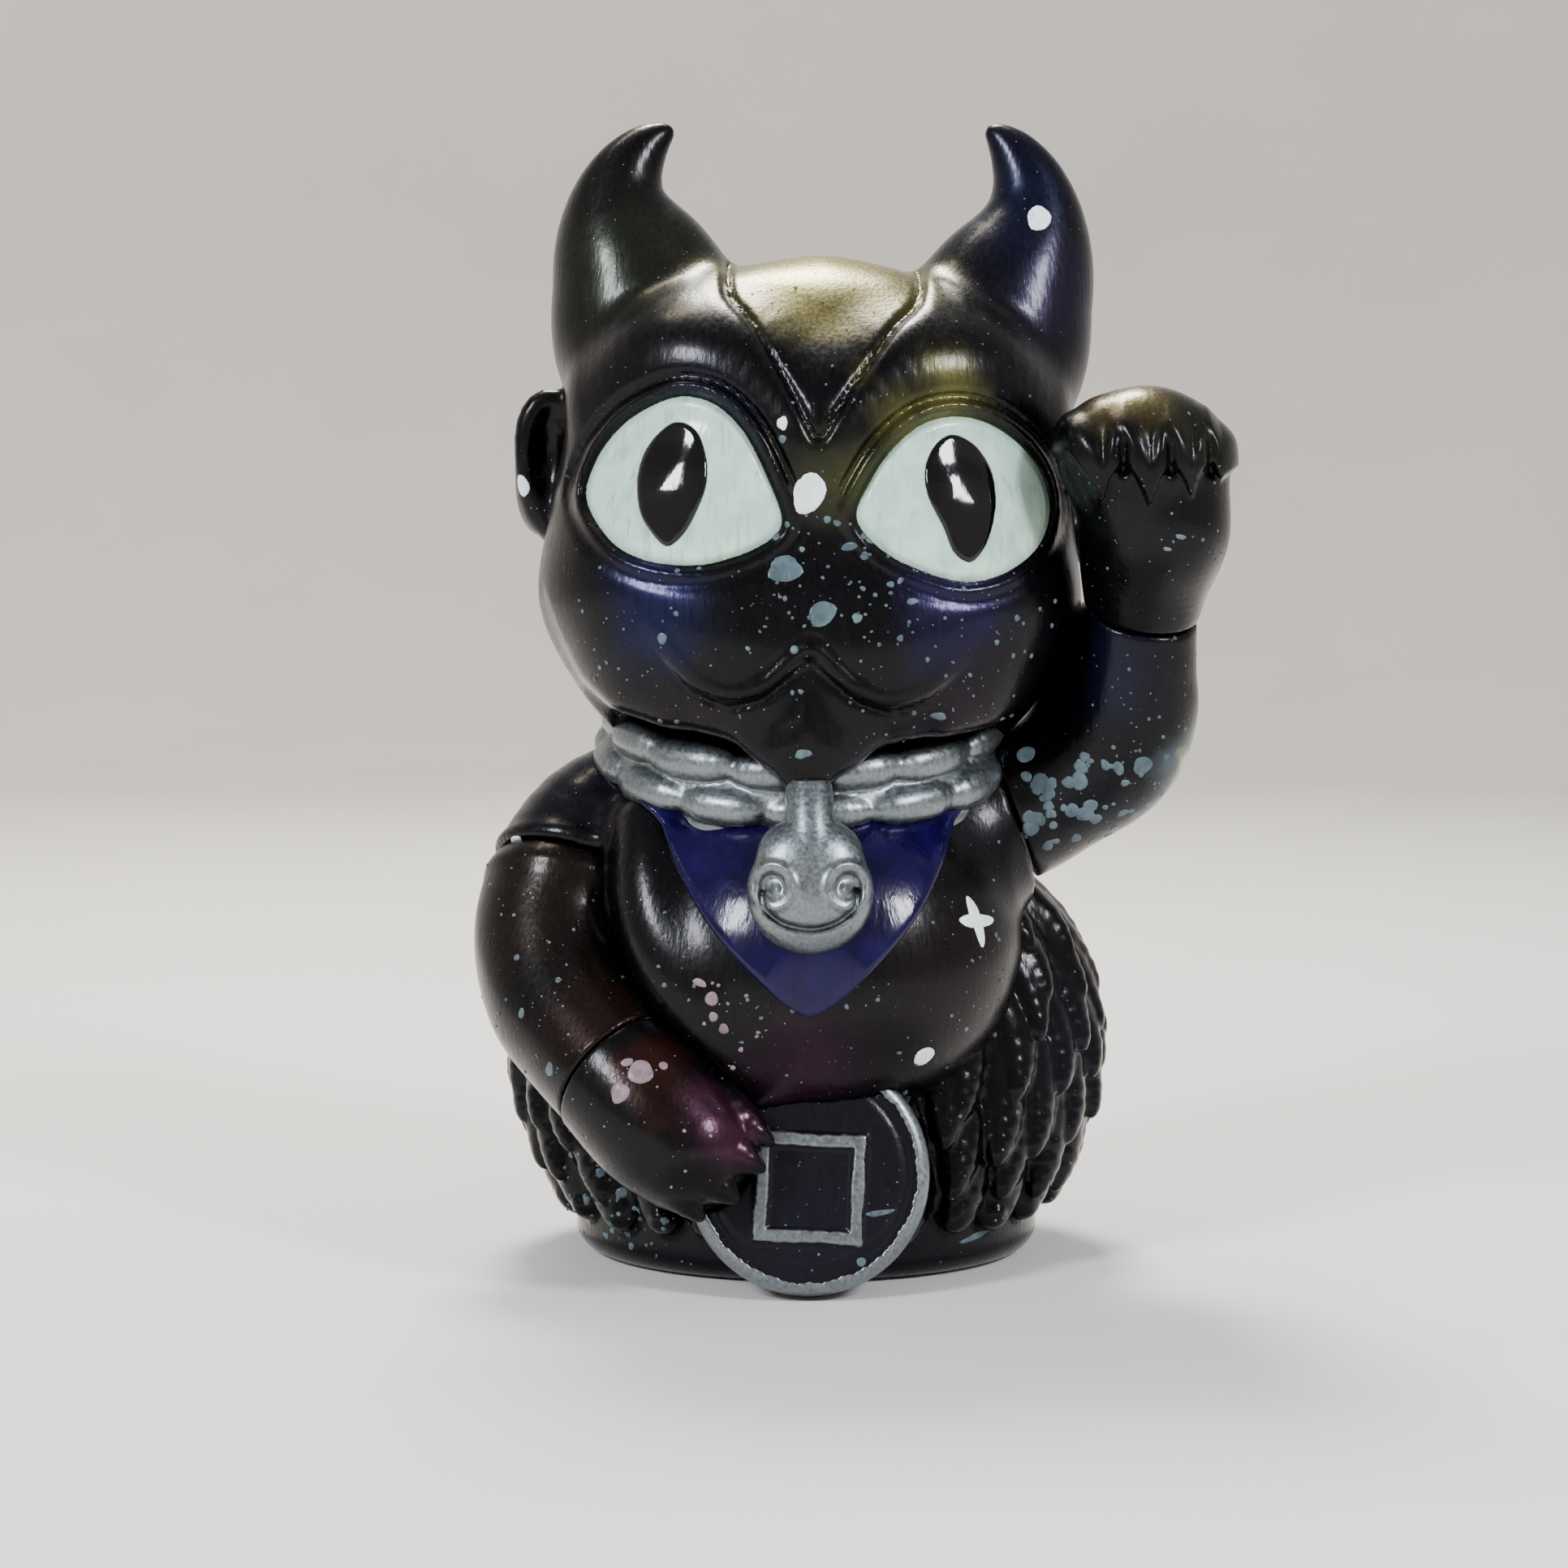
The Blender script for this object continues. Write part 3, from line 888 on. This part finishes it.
def addPanel(name, place, size, watts, hexCode, aim=(0.0, 0.0, 0.07)):
    lamp = bpy.data.lights.new(name, "AREA")
    lamp.shape, lamp.size, lamp.size_y = "RECTANGLE", size[0], size[1]
    lamp.energy, lamp.color = watts, srgb(hexCode)[:3]
    holder = bpy.data.objects.new(name, lamp)
    holder.location = place
    holder.rotation_euler = (Vector(aim) - Vector(place)).to_track_quat("-Z", "Y").to_euler()
    bpy.context.scene.collection.objects.link(holder)


def buildLights():
    addPanel("leftWindow", (-0.5, -0.5, 0.48), (0.13, 0.2), 7.5, "#F2F5FF")
    addPanel("rightWindow", (0.5, -0.46, 0.48), (0.13, 0.19), 6.5, "#F4F6FF")
    addPanel("topPanel", (-0.04, 0.34, 0.72), (0.2, 0.2), 10.0, "#FFFAF0")
    addPanel("wallWash", (-0.2, 0.2, 0.75), (0.3, 0.3), 4.5, "#FFF0D0", (-0.4, 0.8, 0.25))


def buildCamera():
    view = {"from": (-2.8, -379.07, 85.01), "to": (-2.8, 0.0, 58.5), "lens": 69.73, "sensor": 36.0}
    lens = bpy.data.cameras.new("studioCamera")
    lens.lens, lens.sensor_width = view["lens"], view["sensor"]
    lens.clip_start, lens.clip_end = 0.01, 20.0
    camera = bpy.data.objects.new("studioCamera", lens)
    camera.location = Vector(view["from"]) * mm
    camera.rotation_euler = ((Vector(view["to"]) - Vector(view["from"])).to_track_quat("-Z", "Y")).to_euler()
    bpy.context.scene.collection.objects.link(camera)
    bpy.context.scene.camera = camera


buildCamera()
buildStudio()
buildLights()
print("studio ready")

darkBase = ("#030304", "#08070A")
headPaint = pearlVinyl("pearlVarnishedVinylHead", darkBase, [
    ("#746E2C", (2.0, -8.0, 117.0), 19.0, 0.95), ("#6A6832", (12.5, -20.0, 103.0), 11.0, 0.9),
    ("#34371A", (3.0, -24.0, 96.5), 9.0, 0.9), ("#1E2218", (-21.0, -8.0, 122.0), 16.0, 0.75),
    ("#0C112A", (24.0, -8.0, 131.0), 13.0, 0.75), ("#1C1530", (30.0, -6.0, 118.0), 13.0, 0.6),
    ("#8A5A34", (-14.5, -12.0, 115.0), 5.0, 0.7), ("#7A4A30", (19.5, -12.0, 115.5), 4.0, 0.6),
    ("#12163A", (-17.0, -26.0, 80.5), 10.0, 0.75), ("#181236", (16.5, -26.0, 80.5), 10.0, 0.75),
    ("#0E1230", (-12.0, -24.0, 100.0), 10.0, 0.6), ("#1E1718", (-15.0, -20.0, 68.0), 12.0, 0.6),
    ("#1E101C", (17.0, -20.0, 69.0), 12.0, 0.6)])
torsoPaint = pearlVinyl("pearlVarnishedVinylBody", darkBase, [
    ("#2A1024", (0.5, -28.0, 26.5), 11.0, 0.9), ("#180E0D", (16.0, -24.0, 36.0), 16.0, 0.6),
    ("#120B16", (22.0, -14.0, 46.0), 12.0, 0.6), ("#0E1220", (-28.0, -6.0, 56.0), 12.0, 0.6)])
raisedPaint = pearlVinyl("pearlVarnishedVinylRaisedArm", darkBase, [
    ("#0E1226", (36.0, -16.0, 74.0), 10.0, 0.8), ("#10141A", (36.0, -8.0, 56.0), 14.0, 0.6),
    ("#4E6068", (44.5, -12.0, 63.0), 6.0, 0.75), ("#B4D870", (45.4, -12.0, 63.4), 3.4, 0.95)])
pawPaint = pearlVinyl("pearlVarnishedVinylPaw", darkBase, [
    ("#5A5030", (38.0, -22.0, 105.0), 9.0, 0.95), ("#181C12", (44.0, -24.0, 99.0), 10.0, 0.7),
    ("#0C0C0F", (42.0, -26.0, 88.0), 12.0, 0.5)])
armPaint = pearlVinyl("pearlVarnishedVinylRestingArm", darkBase, [
    ("#1C140D", (-32.0, -16.0, 44.0), 14.0, 0.7), ("#20100A", (-25.0, -26.0, 33.0), 10.0, 0.7)])
handPaint = pearlVinyl("pearlVarnishedVinylHand", darkBase, [
    ("#2A110B", (-17.0, -32.0, 27.0), 8.0, 0.9), ("#341427", (-10.0, -34.0, 21.5), 6.5, 0.9)])
furPaint = pearlVinyl("glossVarnishedVinylFur", ("#020203", "#050507"), [
    ("#120C1C", (34.0, -10.0, 25.0), 14.0, 0.5), ("#0C0A14", (0.0, -22.0, 3.0), 30.0, 0.6)], 0.4, 0.22)
coinPaint = pearlVinyl("mattIndigoVinylCoin", ("#09080D", "#0E0D14"), [("#15111F", (2.0, -31.0, 9.0), 14.0, 0.6)],
                       0.8, 0.42)
bodySilver = silverPaint("brushedSilverPaint")
violetEnamel = brushedEnamel("violetGlossEnamel", ("#08012A", "#0D0236", "#05001C"), 0.16, relief=0.3, coat=0.15)
mintEnamel = brushedEnamel("mintWhiteEnamel", ("#A4C2B2", "#BED6C2", "#86A297"), 0.2, coat=0.35)
pupilEnamel = brushedEnamel("thickBlackEnamel", ("#030303", "#060606", "#020202"), 0.06, relief=0.1, coat=0.5)
print("paints mixed")

headSkin = buildHead(headPaint)
buildEyes(mintEnamel, pupilEnamel)
torsoSkin = buildTorso(torsoPaint)
raisedSkin = buildRaisedArm(raisedPaint)
pawSkin = buildRaisedPaw(pawPaint)
armSkin = buildRestingArm(armPaint)
handSkin = buildRestingHand(handPaint)
print("arms shaped")
furSkin = buildHaunch(furPaint)
buildCollar(bodySilver)
buildBib(violetEnamel)
buildBell(bodySilver)
coinSkin = buildCoin(coinPaint, bodySilver)
plugPaint = brushedEnamel("bareBlackVinylPlug", ("#0B0B0D", "#121215", "#070709"), 0.45, (1.6, 3.0), 0.12, coat=0.0)
for plug in ("neck", "raised_shoulder", "raised_wrist", "resting_shoulder", "resting_wrist"):
    for plugSlot in bpy.data.objects[plug + "_plug"].material_slots:
        plugSlot.material = plugPaint  # the swivels' plugs stay as the CAD has them
print("trim shaped")

whitePaint = brushedEnamel("whiteAcrylicDots", ("#D5E2E2", "#E6EFEF", "#B9C8CA"), 0.35, coat=0.1)
greyPaint = brushedEnamel("thinnedGreyAcrylicSpecks", ("#3E4C52", "#56686E", "#2C363A"), 0.35, coat=0.1)
rosePaint = brushedEnamel("thinnedRoseAcrylicSpecks", ("#6E5C62", "#85747A", "#50444A"), 0.35, coat=0.1)
paintDrops("headWhiteDots", "head", headSkin, [(0.1, 94.0, 3.6, 5.0, -20), (28.0, 127.6, 2.9, 3.5, -15),
           (-35.2, 95.6, 1.8, 2.8, 10), (-3.0, 102.0, 1.3, 1.6, 0)], whitePaint)
paintDrops("headGreySpecks", "head", headSkin, [
    (-2.7, 85.3, 4.0, 3.3, 10), (1.6, 80.2, 3.4, 2.8, 40), (-16.9, 77.3, 1.2, 1.4, 0), (4.8, 87.9, 1.9, 1.0, 10),
    (12.0, 81.6, 1.4, 0.8, 10), (5.6, 79.7, 1.2, 1.2, 0), (-3.0, 100.2, 1.0, 1.0, 0), (2.2, 91.0, 0.9, 0.9, 0),
    (15.2, 68.2, 2.0, 1.0, -10), (8.4, 63.4, 1.3, 1.2, 0), (-0.6, 64.0, 2.0, 1.1, 10), (24.4, 79.6, 0.8, 0.8, 0),
    *spatter(3, 170, (-28, 65), (30, 92), 0.75), *spatter(4, 60, (-6, 76), (14, 92), 1.1),
    *spatter(14, 60, (-26, 104), (30, 128), 0.45)], greyPaint)
paintDrops("bodyWhiteDots", "torso", torsoSkin, [(19.9, 44.0, 1.8, 6.4, 8), (20.0, 44.0, 6.2, 1.7, -4),
           (13.6, 28.4, 2.8, 2.5, 30), (-35.4, 52.0, 1.6, 3.4, -28)], whitePaint)
paintDrops("bodyGreySpecks", "torso", torsoSkin, [*spatter(5, 90, (-18, 22), (24, 54), 0.7)], greyPaint)
paintDrops("bellyRoseSpecks", "torso", torsoSkin, [(-11.2, 35.6, 1.6, 1.7, 0), (-11.0, 33.5, 1.1, 1.2, 0),
           (-9.8, 32.1, 1.2, 1.3, 0), (-12.6, 37.4, 1.8, 0.9, -20), *spatter(6, 14, (-14, 26), (-4, 38), 0.8)],
           rosePaint)
paintDrops("handRoseSpecks", "resting_hand", handSkin, [(-19.3, 27.6, 3.0, 3.0, 0), (-21.7, 25.3, 2.3, 2.5, 0),
           (-16.7, 28.2, 1.1, 1.1, 0), (-20.9, 28.6, 1.5, 1.0, 20), *spatter(7, 40, (-28, 12), (-8, 30), 0.5)],
           rosePaint)
paintDrops("armGreySpecks", "resting_arm", armSkin, [(-18.8, 32.2, 3.0, 1.5, -10), (-30.2, 27.0, 1.3, 1.8, -15),
           (-33.8, 33.0, 0.9, 1.3, 0), (-34.6, 39.2, 0.8, 0.8, 0), (-29.4, 37.0, 0.8, 0.8, 0),
           *spatter(8, 60, (-40, 24), (-16, 50), 0.55)], greyPaint)
paintDrops("raisedArmBlotches", "raised_arm", raisedSkin, [*spatter(9, 60, (26, 51), (44, 63), 2.4, 1.2),
           *spatter(10, 50, (32, 56), (47, 78), 0.6)], greyPaint, 0.08)
paintDrops("pawSpecks", "raised_paw", pawSkin, [(43.0, 89.0, 1.3, 0.6, -10), (41.5, 87.6, 1.0, 0.5, -10),
           *spatter(11, 40, (32, 82), (49, 104), 0.5)], greyPaint)
paintDrops("footMarks", "torso", furSkin, [(20.2, 4.6, 4.4, 0.8, 12), (-25.0, 12.5, 1.2, 1.2, 0),
           (-22.4, 10.2, 1.5, 1.3, 0), (-27.0, 8.0, 0.9, 1.2, 0), *spatter(12, 70, (-30, 2), (-13, 16), 1.0),
           *spatter(13, 30, (14, 2), (36, 40), 0.7)], greyPaint)
paintDrops("coinMarks", "torso", coinSkin, [(8.4, 10.4, 3.4, 0.7, 8), (6.2, 4.8, 1.1, 1.1, 0),
           *spatter(15, 20, (-10, 2), (12, 18), 0.4)], greyPaint, 0.08)
print("marks painted")
